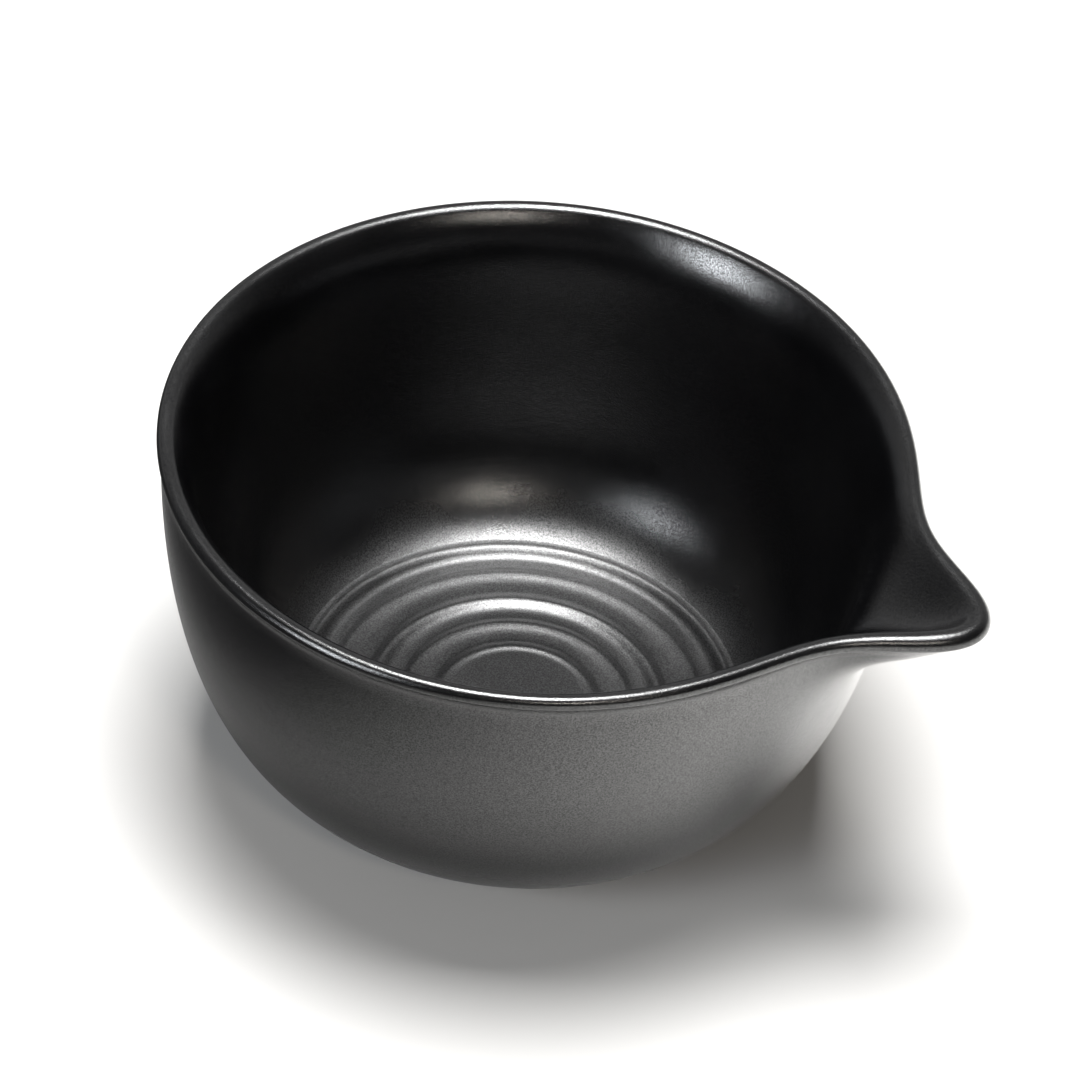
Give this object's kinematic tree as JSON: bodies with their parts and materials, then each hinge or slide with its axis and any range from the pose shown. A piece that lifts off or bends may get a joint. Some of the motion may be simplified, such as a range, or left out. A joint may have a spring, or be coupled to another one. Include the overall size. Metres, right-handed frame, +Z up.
{
  "type": "spouted bowl",
  "caption": "Small thrown ceramic bowl with a round lip, one pulled pouring spout, a floor with throwing rings and a low foot ring, in satin black glaze.",
  "frame": {"origin": "centre of the overall bounding box in X and Y, at the plane the foot ring stands on; the bowl's turning axis is at X = -0.0101", "axes": "+X along the spout, away from the bowl; +Z up out of the bowl's mouth; the XZ plane is the plane of symmetry"},
  "size_m": [0.1452, 0.125, 0.0676],
  "materials": {
    "black_glaze": "satin"
  },
  "bodies": {
    "root": {"bowl": "black_glaze"}
  },
  "joints": []
}
